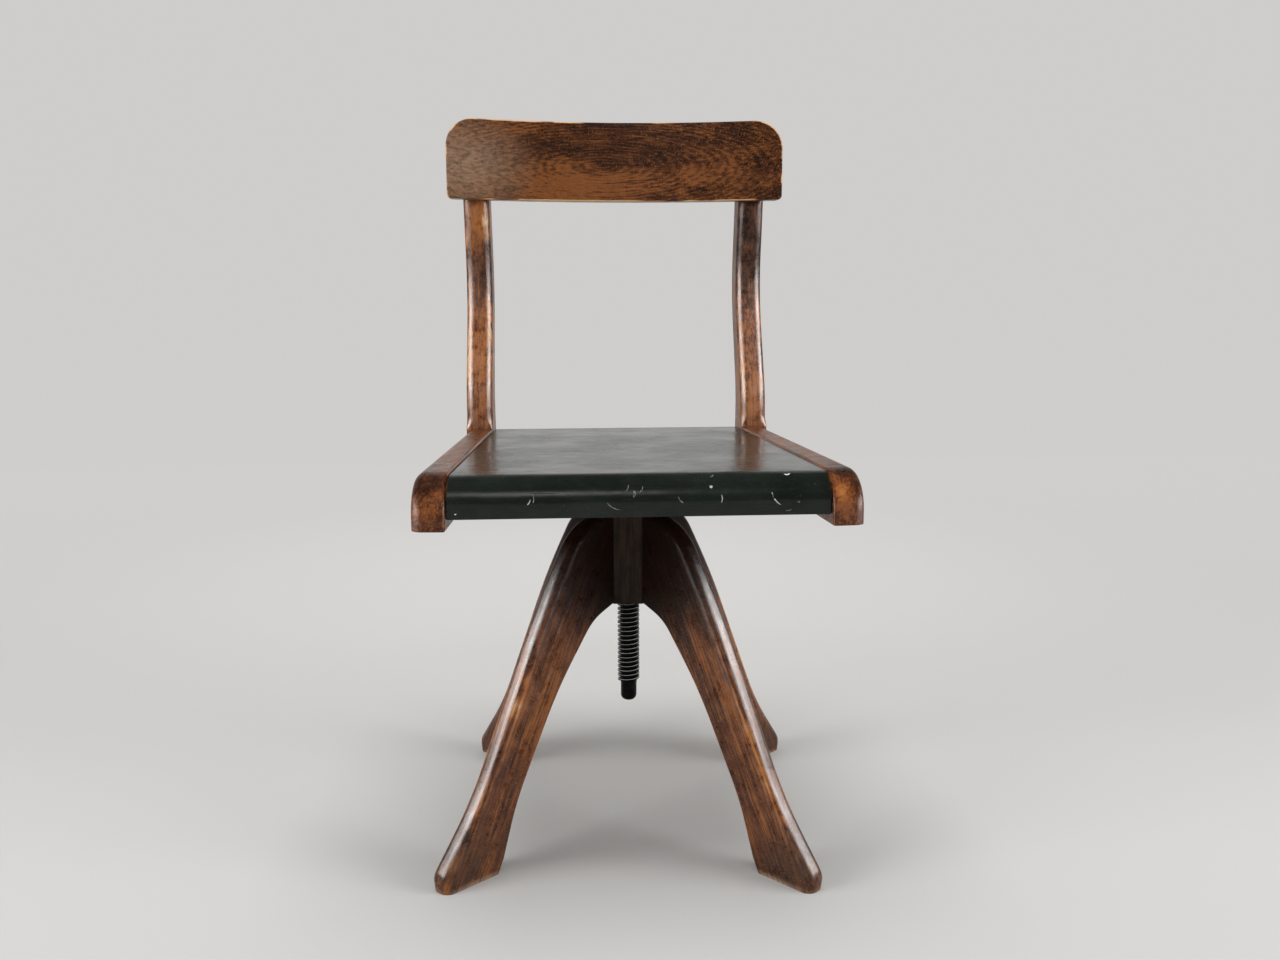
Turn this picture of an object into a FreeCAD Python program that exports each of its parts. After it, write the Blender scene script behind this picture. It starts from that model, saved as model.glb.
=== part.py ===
import FreeCAD, Part
import math
import os

V = FreeCAD.Vector
UP = V(0, 0, 1)
ORIGIN = V(0, 0, 0)

# Swivel chair with a screw spindle: a four-legged wooden base carries a threaded nut,
# and the seat frame turns on a steel spindle that rises through it.
# Lengths in millimetres. The floor is z = 0 and the chair's front looks along -Y.

# Base, whose legs stand on the diagonals of a square
hub_flats = 65.0
hub_bottom = 248.0
hub_height = 104.0
leg_thickness = 24.5
leg_reach = 262.0
foot_length = 67.0
heel_rise = 14.0
heel_cut = 7.0
leg_outer_round = 8.0
leg_inner_bevel = 2.0
base_turn = -4.0
leg_names = ["leg_rear_right", "leg_rear_left", "leg_front_left", "leg_front_right"]

# Corners that the leg's outline rounds, as shares of the leg's reach and of the hub's top
# or bottom height. The outer line ends on the floor.
leg_outer_corners = [(0.31, 0.951), (0.496, 0.723), (0.818, 0.224), (1.002, 0.0434), (0.994, 0.0)]
leg_inner_corners = [(0.649, 0.276), (0.432, 0.694), (0.24, 0.95)]

# Dowels between the hub and each leg
dowel_diameter = 10.0
dowel_sides = 6
dowel_in_hub = 15.0
dowel_in_leg = 20.0
dowel_heights = [18.0, 52.0]

# Screw lift
spindle_diameter = 24.0
spindle_tip_diameter = 17.4
spindle_tip_length = 19.5
spindle_thread_length = 203.0
neck_diameter = 20.0
rivet_diameter = 30.0
rivet_height = 5.0
nut_diameter = 36.0
nut_length = 35.0
nut_flange_diameter = 57.0
nut_flange_thickness = 5.0
nut_proud = 1.0
nut_screw_circle = 46.0
nut_screw_count = 4
washer_diameter = 44.0
washer_thickness = 3.0

# Iron spider under the seat
spider_boss_diameter = 42.0
spider_boss_drop = 10.6
spider_thickness = 6.0
spider_arm_width = 24.0
spider_arm_root = 32.4
spider_pad_diameter = 34.0
spider_pad_sides = 8

# Seat frame
seat_depth = 384.0
seat_front_width = 421.0
seat_rear_width = 371.0
rail_width = 32.0
rail_height = 50.0
rail_front_radius = 38.0
rail_outer_round = 11.0
rail_inner_bevel = 2.5
rail_proud = 1.5
seat_setback = 2.0
bearer_width = 44.0
bearer_thickness = 24.5
bearer_spacing = 150.0
front_rail_depth = 38.0
front_rail_height = 35.0
front_rail_rebate = 12.0
rear_rail_thickness = 22.0
rear_rail_setback = 4.0
seat_board_thickness = 10.0
seat_overhang = 15.0
cover_thickness = 3.0
cover_nose_radius = 25.0
cover_gap = 1.5
block_side = 34.0

# Tenons
tenon_thickness = 10.0
tenon_shoulder = 8.0
post_tenon_length = 24.0
stub_tenon_length = 9.0

# Back posts. The front line rounds corners given as shares of the sweep and of the height
# over the rail; the third number is the share of the depth that the post has lost there.
post_top = 767.0
post_sweep = 47.5
post_corners = [(0.093, 0.122, 0.3), (1.074, 0.478, 1.0), (0.918, 0.767, 1.0), (0.905, 1.0, 1.0)]
post_foot_depth = 38.0
post_head_depth = 30.0
post_round = 10.0
post_round_start = 1.0
post_round_run = 13.0
post_splay = 0.88

# Crest rail
crest_width = 407.0
crest_bottom = 690.0
crest_height = 95.0
crest_thickness = 20.0
crest_front_radius = 535.0
crest_setback = 53.0
crest_top_corner = 34.0
crest_bottom_corner = 5.0
crest_edge_bevel = 1.6

# Screws
screw_diameter = 5.0
screw_head_diameter = 9.6
screw_head_height = 3.2
screw_sides = 6
crest_screw_length = 30.0
crest_screw_heights = [26.0, 62.0]
nut_screw_length = 24.0
spider_screw_length = 26.0
board_screw_length = 32.0

# A rounded path's arcs take up this share of the shorter line at a corner
arc_share = 0.45

# Rounded edges are cut in three flats, the middle one at this share of the radius
middle_flat_share = 0.73

# The chair is drawn round its swivel axis and then set on the middle of its outer box
axis_to_middle = 34.4

# Clearances
fit_gap = 0.05
joint_gap = 0.1
play = 0.2
end_gap = 1.0

# Derived sizes of the base
hub_top = hub_bottom + hub_height
hub_facet = hub_flats / math.sqrt(2) - leg_thickness / 2
nut_top = hub_top + nut_proud
nut_bore = spindle_diameter / 2 + fit_gap
hub_bore = spindle_diameter / 2 + end_gap

# Derived heights of the lift and the seat
washer_bottom = nut_top + play
boss_bottom = washer_bottom + washer_thickness + play
spider_bottom = boss_bottom + spider_boss_drop
bearer_bottom = spider_bottom + spider_thickness
board_bottom = bearer_bottom + bearer_thickness
board_top = board_bottom + seat_board_thickness
cover_top = board_top + cover_thickness
rail_top = cover_top + rail_proud
rail_bottom = rail_top - rail_height
thread_bottom = nut_top - spindle_thread_length

# Derived plan of the seat frame
rail_taper = math.atan((seat_front_width - seat_rear_width) / 2 / seat_depth)
rail_length = seat_depth / math.cos(rail_taper)
seat_front = -seat_depth / 2
seat_rear = seat_depth / 2
cover_front = seat_front + seat_setback
cover_rear = seat_rear + seat_overhang
nose_radius = cover_nose_radius - cover_thickness
front_rail_front = cover_front + cover_thickness
front_rail_rear = front_rail_front + front_rail_depth
front_rail_bottom = board_top - front_rail_height
rear_rail_front = seat_rear + rear_rail_setback
rear_rail_rear = rear_rail_front + rear_rail_thickness
bearer_centres = [-bearer_spacing / 2, bearer_spacing / 2]
crest_front = seat_rear + crest_setback
crest_axis = crest_front - crest_front_radius
crest_back_radius = crest_front_radius + crest_thickness


def box(low, high):
    size = [high[i] - low[i] for i in range(3)]
    return Part.makeBox(size[0], size[1], size[2], V(*low))


def rod(radius, bottom, top, at=(0, 0)):
    return Part.makeCylinder(radius, top - bottom, V(at[0], at[1], bottom), UP)


def prism(edges, direction):
    return Part.Face(Part.Wire(Part.__sortEdges__(edges))).extrude(direction)


def slab(corners, low, high):
    """An upright block between two heights over a polygon in plan."""
    points = [V(x, y, low) for x, y in corners]
    return Part.Face(Part.makePolygon(points + points[:1])).extrude(V(0, 0, high - low))


def line(start, end):
    return Part.LineSegment(start, end).toShape()


def arc(start, middle, end):
    return Part.Arc(start, middle, end).toShape()


def rounded_path(corners):
    """Lines from the first corner to the last, joined by arcs that round the corners between."""
    edges = []
    start = corners[0]
    for before, corner, after in zip(corners, corners[1:], corners[2:]):
        back = (before - corner).normalize()
        ahead = (after - corner).normalize()
        reach = arc_share * min((before - corner).Length, (after - corner).Length)
        half_angle = back.getAngle(ahead) / 2
        inward = (back + ahead).normalize() * reach * (1 / math.cos(half_angle) - math.tan(half_angle))
        edges.append(line(start, corner + back * reach))
        edges.append(arc(corner + back * reach, corner + inward, corner + ahead * reach))
        start = corner + ahead * reach
    return edges + [line(start, corners[-1])]


def faceted(sections, sides):
    """A flat-sided pin round the Z axis, from pairs of radius and height, lowest first."""
    rings = []
    for radius, z in sections:
        angles = [2 * math.pi * (i + 0.5) / sides for i in range(sides)]
        rings.append([V(radius * math.cos(a), radius * math.sin(a), z) for a in angles])
    outlines = [rings[0], rings[-1]]
    for low, high in zip(rings, rings[1:]):
        outlines += [[low[i - 1], low[i], high[i], high[i - 1]] for i in range(sides)]
    faces = [Part.Face(Part.makePolygon(corners + corners[:1])) for corners in outlines]
    return Part.makeSolid(Part.makeShell(faces))


def turned(shape, degrees):
    copy = shape.copy()
    copy.rotate(ORIGIN, UP, degrees)
    return copy


def moved(shape, x, y, z):
    copy = shape.copy()
    copy.translate(V(x, y, z))
    return copy


def mirrored(shape):
    return shape.mirror(ORIGIN, V(1, 0, 0))


def edges_near(solid, curves, distance=0.0):
    """The solid's edges whose middle lies at a distance from the nearest of the curves."""
    found = []
    for edge in solid.Edges:
        middle = Part.Vertex(edge.valueAt((edge.FirstParameter + edge.LastParameter) / 2))
        nearest = min(middle.distToShape(curve)[0] for curve in curves)
        if abs(nearest - distance) < 0.01:
            found.append(edge)
    return found


def rounded(solid, curves, radius):
    """Round the solid's edges along the curves, in three flats."""
    middle_flat = middle_flat_share * radius
    solid = solid.makeChamfer(middle_flat, edges_near(solid, curves))
    return solid.makeChamfer(radius - middle_flat, edges_near(solid, curves, middle_flat))


def screw_shank(length, grow):
    """The sections of a screw's shank from its point up to the underside of its head."""
    shank = screw_diameter / 2 + grow
    return [(0.2 * shank, -length - grow), (shank, -length + screw_diameter)]


def wood_screw(length, grow=0.0):
    """A countersunk screw pointing down from z = 0, where grow widens it into its hole."""
    head = screw_head_diameter / 2 + grow
    shank = screw_diameter / 2 + grow
    return faceted(screw_shank(length, grow) + [(shank, shank - head), (head, 0)], screw_sides)


def round_screw(length, grow=0.0):
    """A round-head screw with its head's seat at z = 0, pointing down."""
    head = screw_head_diameter / 2 + grow
    shank = screw_diameter / 2 + grow
    sections = [(head, 0), (0.86 * head, 0.6 * screw_head_height), (0.5 * head, screw_head_height)]
    dome = faceted(sections, screw_sides)
    return dome.fuse(faceted(screw_shank(length, grow) + [(shank, 0)], screw_sides))


# The base


def leg_outline():
    """The leg's outline as groups of edges: outer line with the toe, inner line and straight rest."""
    heel = V(leg_reach - foot_length, 0, 0)
    heel_top = V(heel.x - heel_cut, 0, heel_rise)
    head = V(hub_facet, 0, hub_top)
    root = V(hub_facet, 0, hub_bottom)
    outer = [V(reach * leg_reach, 0, rise * hub_top) for reach, rise in leg_outer_corners]
    inner = [V(reach * leg_reach, 0, rise * hub_bottom) for reach, rise in leg_inner_corners]
    return {
        "outer": rounded_path([head] + outer),
        "inner": [line(heel, heel_top)] + rounded_path([heel_top] + inner + [root]),
        "rest": [line(outer[-1], heel), line(root, head)],
    }


def make_leg():
    outline = leg_outline()
    edges = [edge for group in outline.values() for edge in group]
    half = V(0, leg_thickness / 2, 0)
    plank = prism(edges, half * 2)
    plank.translate(-half)

    def both_sides(curves):
        return [moved(curve, 0, side * half.y, 0) for curve in curves for side in (-1, 1)]

    plank = rounded(plank, both_sides(outline["outer"]), leg_outer_round)
    return plank.makeChamfer(leg_inner_bevel, edges_near(plank, both_sides(outline["inner"])))


def make_dowels(grow=0.0):
    """The dowels of one leg on the +X side of the hub, wider and longer by grow as their holes."""
    radius = dowel_diameter / 2 + grow
    dowel = faceted([(radius, -dowel_in_hub - grow), (radius, dowel_in_leg + grow)], dowel_sides)
    dowel.rotate(ORIGIN, V(0, 1, 0), 90)
    return Part.makeCompound([moved(dowel, hub_facet, 0, hub_bottom + height) for height in dowel_heights])


def make_hub():
    """An octagonal column: four faces between the legs and one narrow face for each leg."""
    half = hub_flats / 2
    cut = half - leg_thickness / math.sqrt(2)
    right = [(cut, -half), (half, -cut), (half, cut), (cut, half)]
    left = [(-x, -y) for x, y in right]
    hub = slab(right + left, hub_bottom, hub_top)
    hub = hub.cut(rod(hub_bore, hub_bottom - 1, hub_top + 1))
    hub = hub.cut(rod(nut_diameter / 2 + fit_gap, hub_top - nut_length, hub_top + 1))
    flange_seat = hub_top + nut_proud - nut_flange_thickness
    hub = hub.cut(rod(nut_flange_diameter / 2 + joint_gap, flange_seat, hub_top + 1))
    for turn in leg_angles():
        hub = hub.cut(turned(make_dowels(joint_gap), turn))
    return hub.cut(nut_screw_group(joint_gap))


def leg_angles():
    return [45 + 360 / len(leg_names) * i for i in range(len(leg_names))]


def nut_screw_group(grow=0.0):
    screw = moved(wood_screw(nut_screw_length, grow), nut_screw_circle / 2, 0, nut_top)
    screws = [turned(screw, 360 / nut_screw_count * i) for i in range(nut_screw_count)]
    return Part.makeCompound(screws)


def make_nut():
    """A flanged iron nut let into the hub's top, bored for the spindle."""
    nut = rod(nut_diameter / 2, hub_top - nut_length, nut_top)
    nut = nut.fuse(rod(nut_flange_diameter / 2, nut_top - nut_flange_thickness, nut_top))
    nut = nut.cut(rod(nut_bore, hub_top - nut_length - 1, nut_top + 1))
    return nut.cut(nut_screw_group(joint_gap)).removeSplitter()


# The screw lift


def make_spindle():
    """A spindle with a bevelled plain tip, the threaded length and a riveted neck."""
    tip = spindle_tip_diameter / 2
    body = spindle_diameter / 2
    neck = neck_diameter / 2
    tip_bottom = thread_bottom - spindle_tip_length
    rivet = rivet_diameter / 2
    tip_bevel = tip / 2
    run_out = 0.6 * (body - tip)
    plate_top = bearer_bottom
    sections = [
        (0, tip_bottom), (tip - tip_bevel, tip_bottom), (tip, tip_bottom + tip_bevel), (tip, thread_bottom),
        (body, thread_bottom + run_out), (body, nut_top), (neck, nut_top), (neck, plate_top),
        (rivet, plate_top), (rivet, plate_top + rivet_height), (0, plate_top + rivet_height),
    ]
    outline = [V(radius, 0, z) for radius, z in sections]
    return Part.Face(Part.makePolygon(outline + outline[:1])).revolve(ORIGIN, UP, 360)


def make_washer():
    washer = rod(washer_diameter / 2, washer_bottom, washer_bottom + washer_thickness)
    return washer.cut(rod(neck_diameter / 2 + joint_gap, washer_bottom - 1, boss_bottom + 1))


def spider_pads():
    half = bearer_spacing / 2
    return [(x, y) for x in (-half, half) for y in (-half, half)]


def make_spider():
    """A cast cross of four tapering arms with a boss below and a screw pad at each end."""
    spider = rod(spider_boss_diameter / 2, boss_bottom, bearer_bottom)
    reach = bearer_spacing / 2 * math.sqrt(2)
    tip = spider_arm_width / 2
    root = spider_arm_root / 2
    arm = slab([(0, -root), (reach, -tip), (reach, tip), (0, root)], spider_bottom, bearer_bottom)
    pad_radius = spider_pad_diameter / 2
    pad = faceted([(pad_radius, spider_bottom), (pad_radius, bearer_bottom)], spider_pad_sides)
    for i, (x, y) in enumerate(spider_pads()):
        spider = spider.fuse(turned(arm, 45 + 90 * i))
        spider = spider.fuse(moved(pad, x, y, 0))
    spider = spider.cut(rod(neck_diameter / 2 + fit_gap, boss_bottom - 1, bearer_bottom + 1))
    return spider.cut(spider_screw_group(joint_gap)).removeSplitter()


def spider_screw_group(grow=0.0):
    screw = round_screw(spider_screw_length, grow)
    screw.rotate(ORIGIN, V(1, 0, 0), 180)
    return Part.makeCompound([moved(screw, x, y, spider_bottom) for x, y in spider_pads()])


# The seat frame


def on_side(shape):
    """Place a shape drawn along a straight rail onto the right-hand, tapering side."""
    placed = turned(shape, math.degrees(rail_taper))
    placed.translate(V(seat_front_width / 2, seat_front, 0))
    return placed


def inner_half_width(y):
    outer = seat_front_width / 2 - (y - seat_front) * math.tan(rail_taper)
    return outer - rail_width / math.cos(rail_taper)


def between_sides(low, high, front, rear, gap):
    """A block between the side rails, whose ends follow their taper at the given gap."""
    front_half = inner_half_width(front) - gap
    rear_half = inner_half_width(rear) - gap
    corners = [(-front_half, front), (front_half, front), (rear_half, rear), (-rear_half, rear)]
    return slab(corners, low, high)


def stub_tenon(low, high, front, rear, grow=0.0):
    """Stub tenons that reach into both side pieces, or the mortises for them."""
    length = stub_tenon_length + (end_gap if grow else 0)
    middle = (front + rear) / 2
    half = tenon_thickness / 2 + grow
    tenon_low = low + tenon_shoulder - grow
    tenon_high = high - tenon_shoulder + grow
    return between_sides(tenon_low, tenon_high, middle - half, middle + half, -length)


def bearer_tenons(y, grow=0.0):
    return stub_tenon(bearer_bottom, board_bottom, y - bearer_width / 2, y + bearer_width / 2, grow)


def make_side_rail():
    """The right side rail, with its scrolled front end and a tenon for the back post."""
    low, high = rail_bottom, rail_top
    front_low, front_high = V(0, 0, low), V(0, 0, high - rail_front_radius)
    top_front, top_rear = V(0, rail_front_radius, high), V(0, rail_length, high)
    bend = rail_front_radius * (1 - math.sqrt(0.5))
    profile = [
        line(front_low, front_high),
        arc(front_high, V(0, bend, high - bend), top_front),
        line(top_front, top_rear),
        line(top_rear, V(0, rail_length, low)),
        line(V(0, rail_length, low), front_low),
    ]
    rail = prism(profile, V(-rail_width, 0, 0))
    crown = profile[:3]
    inner_crown = [moved(edge, -rail_width, 0, 0) for edge in crown]
    rail = rounded(rail, crown, rail_outer_round)
    rail = rail.makeChamfer(rail_inner_bevel, edges_near(rail, inner_crown))
    rail = rail.fuse(post_tenon()).removeSplitter()
    rail = on_side(rail)
    rail = rail.cut(front_rail_tenons(joint_gap))
    for y in bearer_centres:
        rail = rail.cut(bearer_tenons(y, joint_gap))
    return rail


def post_tenon(grow=0.0):
    length = post_tenon_length + (end_gap if grow else 0)
    half = tenon_thickness / 2 + grow
    middle = -rail_width / 2
    return box((middle - half, rail_length, rail_bottom + tenon_shoulder - grow),
               (middle + half, rail_length + length, rail_top - tenon_shoulder + grow))


def post_edge(depth_shares):
    """A post's line over the rail in the rail's own plane: the front one at 0, the rear one at 1."""
    points = [V(0, rail_length + depth_shares * post_foot_depth, rail_top)]
    for sweep, rise, lost in post_corners:
        depth = post_foot_depth - lost * (post_foot_depth - post_head_depth)
        back = sweep * post_sweep + depth_shares * depth
        points.append(V(0, rail_length + back, rail_top + rise * (post_top - rail_top)))
    return rounded_path(points)


def make_post():
    """The right back post: a swept plank with front corners rounded from just above the rail."""
    front_foot, front_start = V(0, rail_length, rail_bottom), V(0, rail_length, rail_top)
    depth = V(0, post_foot_depth, 0)
    front, rear = post_edge(0), post_edge(1)
    rest = [
        line(front_foot, front_start),
        line(front_start + depth, front_foot + depth),
        line(front_foot + depth, front_foot),
        line(front[-1].lastVertex().Point, rear[-1].lastVertex().Point),
    ]
    square = prism(front + rear + rest, V(-rail_width, 0, 0))
    corners = front + [moved(edge, -rail_width, 0, 0) for edge in front]
    post = rounded(square, corners, post_round)
    post = post.fuse(square.common(square_foot())).removeSplitter()
    post.rotate(V(0, rail_length, rail_bottom), V(0, 1, 0), post_splay)
    post = on_side(post.cut(post_tenon(joint_gap)))
    post = post.cut(rear_rail_tenons(joint_gap))
    post = post.cut(crest_seat())
    return post.cut(crest_screw_pair(joint_gap))


def square_foot():
    """The space in which a post's corners stay square, with a gabled top for the run-outs."""
    start = rail_top + post_round_start
    peak = start + post_round_run * rail_width / 2 / post_round
    corners = [
        V(1, 0, rail_bottom - 1), V(1, 0, start), V(-rail_width / 2, 0, peak),
        V(-rail_width - 1, 0, start), V(-rail_width - 1, 0, rail_bottom - 1),
    ]
    gable = Part.Face(Part.makePolygon(corners + corners[:1]))
    return moved(gable.extrude(V(0, 2 * post_foot_depth + post_sweep, 0)), 0, rail_length - 1, 0)


def crest_seat():
    """The notch in a post's head that the crest rail sits in."""
    return rod(crest_back_radius + joint_gap, crest_bottom - joint_gap, post_top + 1, (0, crest_axis))


def corner_arc(x, z, radius, inward, upward):
    """A quarter round at an upright panel's corner, drawn from its side to its top or bottom edge."""
    bend = radius * (1 - math.sqrt(0.5))
    start = V(x, 0, z - upward * radius)
    middle = V(x + inward * bend, 0, z - upward * bend)
    return arc(start, middle, V(x + inward * radius, 0, z))


def make_crest():
    """A board bowed to the sitter's back, with large round top corners."""
    half = crest_width / 2
    low, high = crest_bottom, crest_bottom + crest_height
    top, bottom = crest_top_corner, crest_bottom_corner
    edges = [line(V(bottom - half, 0, low), V(half - bottom, 0, low))]
    edges.append(line(V(top - half, 0, high), V(half - top, 0, high)))
    for side in (1, -1):
        x = side * half
        edges.append(corner_arc(x, low, bottom, -side, -1))
        edges.append(line(V(x, 0, low + bottom), V(x, 0, high - top)))
        edges.append(corner_arc(x, high, top, -side, 1))
    panel = moved(prism(edges, V(0, 4 * crest_setback, 0)), 0, crest_front - 2 * crest_setback, 0)
    bow = rod(crest_back_radius, low - 1, high + 1, (0, crest_axis))
    bow = bow.cut(rod(crest_front_radius, low - 2, high + 2, (0, crest_axis)))
    crest = panel.common(bow)
    crest = crest.makeChamfer(crest_edge_bevel, [edge for edge in crest.Edges if edge.Length > half])
    for screws in (crest_screw_pair(joint_gap), mirrored(crest_screw_pair(joint_gap))):
        crest = crest.cut(screws)
    return crest


def crest_screw_pair(grow=0.0):
    """Two screws through the right post's head into the crest rail, from behind."""
    screws = []
    for height in crest_screw_heights:
        z = crest_bottom + height
        x = math.tan(math.radians(post_splay)) * (z - rail_bottom) - rail_width / 2
        screw = round_screw(crest_screw_length, grow)
        screw.rotate(ORIGIN, V(1, 0, 0), -90)
        screws.append(moved(screw, x, post_rear_at(z), z))
    return on_side(Part.makeCompound(screws))


def post_rear_at(z):
    """Where a post's rear face lies at a height, along the rail."""
    level = line(V(0, rail_length - post_sweep, z), V(0, rail_length + 3 * post_sweep, z))
    return Part.Compound(post_edge(1)).distToShape(level)[1][0][0].y


def front_rail_tenons(grow=0.0):
    return stub_tenon(front_rail_bottom, board_bottom, front_rail_front, front_rail_rear, grow)


def nose_points(front, top, radius):
    """Start, middle and end of the quarter round between a front face and a top face."""
    bend = radius * (1 - math.sqrt(0.5))
    return V(0, front, top - radius), V(0, front + bend, top - bend), V(0, front + radius, top)


def profile_solid(arcs, corners):
    """A bar across the chair from arcs in its side view and the corners between them, trimmed later."""
    edges = arcs + [line(V(0, *start), V(0, *end)) for start, end in zip(corners, corners[1:])]
    return moved(prism(edges, V(seat_front_width, 0, 0)), -seat_front_width / 2, 0, 0)


def make_front_rail():
    """The front rail: a rounded nose, and a rebate behind it for the seat board."""
    low, high = front_rail_bottom, board_top
    front, rear = front_rail_front, front_rail_rear
    step = rear - front_rail_rebate
    nose = arc(*nose_points(front, high, nose_radius))
    corners = [
        (front + nose_radius, high), (step, high), (step, board_bottom), (rear, board_bottom),
        (rear, low), (front, low), (front, high - nose_radius),
    ]
    rail = profile_solid([nose], corners).common(between_sides(low, high, front, rear, joint_gap))
    return rail.fuse(front_rail_tenons()).removeSplitter()


def rear_rail_tenons(grow=0.0):
    return stub_tenon(rail_bottom, board_bottom, rear_rail_front, rear_rail_rear, grow)


def make_rear_rail():
    rail = between_sides(rail_bottom, board_bottom, rear_rail_front, rear_rail_rear, joint_gap)
    return rail.fuse(rear_rail_tenons()).removeSplitter()


def make_bearer(y):
    """A cross bearer under the seat board, stub-tenoned into the side rails."""
    front, rear = y - bearer_width / 2, y + bearer_width / 2
    bearer = between_sides(bearer_bottom, board_bottom, front, rear, joint_gap)
    bearer = bearer.fuse(bearer_tenons(y)).removeSplitter()
    return bearer.cut(spider_screw_group(joint_gap)).cut(board_screw_group(joint_gap))


def board_screw_group(grow=0.0):
    screw = wood_screw(board_screw_length, grow)
    screw.rotate(ORIGIN, V(1, 0, 0), 180)
    places = [(side * inner_half_width(y) * 0.72, y) for y in bearer_centres for side in (-1, 1)]
    return Part.makeCompound([moved(screw, x, y, bearer_bottom) for x, y in places])


def make_seat_board():
    front = front_rail_rear - front_rail_rebate + joint_gap
    board = between_sides(board_bottom, board_top, front, cover_rear, cover_gap)
    return board.cut(board_screw_group(joint_gap))


def make_cover():
    """The sheet over the seat board, rolled over the front rail's nose and down its face."""
    low = front_rail_bottom
    outer = nose_points(cover_front, cover_top, cover_nose_radius)
    inner = nose_points(front_rail_front, board_top, nose_radius)
    start = outer[2].y
    behind = [(start, cover_top), (cover_rear, cover_top), (cover_rear, board_top), (start, board_top)]
    below = [outer[0], V(0, cover_front, low), V(0, front_rail_front, low), inner[0]]
    face = [line(start, end) for start, end in zip(below, below[1:])]
    sheet = profile_solid([arc(*outer), arc(*inner)] + face, behind)
    return sheet.common(between_sides(low - 1, cover_top + 1, cover_front - 1, cover_rear + 1, cover_gap))


def corner_block(y, toward):
    """A glued three-cornered block in the right-hand corner between a cross rail and a side rail."""
    x = inner_half_width(y) - joint_gap
    far = y + toward * block_side
    corners = [(x, y), (inner_half_width(far) - joint_gap, far), (x - block_side, y)]
    return slab(corners, rail_bottom + tenon_shoulder, board_bottom - joint_gap)


def pair(name, shape):
    """A right-hand piece and its mirror image on the left."""
    return {name + "_right": shape, name + "_left": mirrored(shape)}


def base_nodes():
    nodes = {"hub": make_hub(), "spindle_nut": make_nut(), "nut_screws": nut_screw_group()}
    leg = make_leg().cut(make_dowels(joint_gap))
    for name, angle in zip(leg_names, leg_angles()):
        nodes[name] = turned(leg, angle)
    dowels = [turned(make_dowels(), angle) for angle in leg_angles()]
    nodes["leg_dowels"] = Part.makeCompound([solid for group in dowels for solid in group.Solids])
    return {name: turned(shape, base_turn) for name, shape in nodes.items()}


def seat_nodes():
    nodes = {
        "stop_washer": make_washer(),
        "spindle": make_spindle(),
        "spider": make_spider(),
        "spider_screws": spider_screw_group(),
        "bearer_front": make_bearer(bearer_centres[0]),
        "bearer_rear": make_bearer(bearer_centres[1]),
        "board_screws": board_screw_group(),
        "seat_board": make_seat_board(),
        "seat_cover": make_cover(),
        "front_rail": make_front_rail(),
        "rear_rail": make_rear_rail(),
        "crest_rail": make_crest(),
    }
    nodes.update(pair("side_rail", make_side_rail()))
    nodes.update(pair("back_post", make_post()))
    nodes.update(pair("corner_block_front", corner_block(front_rail_rear + joint_gap, 1)))
    nodes.update(pair("corner_block_rear", corner_block(rear_rail_front - joint_gap, -1)))
    screws = crest_screw_pair()
    nodes["crest_screws"] = Part.makeCompound(screws.Solids + mirrored(screws).Solids)
    return nodes


nodes = base_nodes()
nodes.update(seat_nodes())
os.makedirs("parts", exist_ok=True)
for name, shape in nodes.items():
    shape.translate(V(0, -axis_to_middle, 0))
    shape.exportStep("parts/" + name + ".step")
    print(name, len(shape.Solids), "solids", shape.isValid(), round(shape.Volume / 1000, 1), "cm3")
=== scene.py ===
import math

import bmesh
import bpy
from mathutils import Matrix, Vector


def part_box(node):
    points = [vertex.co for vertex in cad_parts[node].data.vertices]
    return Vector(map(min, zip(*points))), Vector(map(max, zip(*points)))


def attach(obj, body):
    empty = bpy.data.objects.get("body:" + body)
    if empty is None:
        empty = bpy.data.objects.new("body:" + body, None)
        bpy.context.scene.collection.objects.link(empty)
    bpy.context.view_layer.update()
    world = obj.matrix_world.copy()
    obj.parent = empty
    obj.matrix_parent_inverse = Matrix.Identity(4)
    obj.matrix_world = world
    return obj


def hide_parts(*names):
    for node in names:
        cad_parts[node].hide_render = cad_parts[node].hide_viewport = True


# Looks of a screw-lift swivel chair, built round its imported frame. Lengths in metres,
# angles in degrees, colours as red, green and blue from 0 to 255.

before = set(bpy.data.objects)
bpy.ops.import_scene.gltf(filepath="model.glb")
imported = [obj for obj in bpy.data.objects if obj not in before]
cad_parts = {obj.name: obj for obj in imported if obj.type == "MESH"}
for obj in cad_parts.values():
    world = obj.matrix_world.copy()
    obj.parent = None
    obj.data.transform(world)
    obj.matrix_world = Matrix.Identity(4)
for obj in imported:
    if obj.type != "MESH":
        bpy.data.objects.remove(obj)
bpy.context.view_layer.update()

# Places taken from the frame
spindle_low, spindle_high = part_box("spindle")
hub_low, hub_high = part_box("hub")
rail_low, rail_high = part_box("side_rail_right")
cover_low, cover_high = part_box("seat_cover")
crest_low, crest_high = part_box("crest_rail")
post_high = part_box("back_post_right")[1]
axis_y = (hub_low.y + hub_high.y) / 2

# Legs: corners that the outline rounds, as shares of the reach and of the hub's heights
leg_turns = {"leg_rear_right": 41, "leg_rear_left": 131, "leg_front_left": 221, "leg_front_right": 311}
leg_thickness = 0.0245
leg_reach = 0.262
leg_root = 0.0337
leg_heel = 0.195
leg_heel_top = (0.188, 0.014)
leg_outer_corners = [(0.31, 0.951), (0.496, 0.723), (0.818, 0.224), (1.002, 0.0434), (0.994, 0.0)]
leg_inner_corners = [(0.649, 0.276), (0.432, 0.694), (0.24, 0.95)]
leg_outer_round = 0.0098
leg_inner_round = 0.003
leg_grain = (0.46, -0.89)

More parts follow.
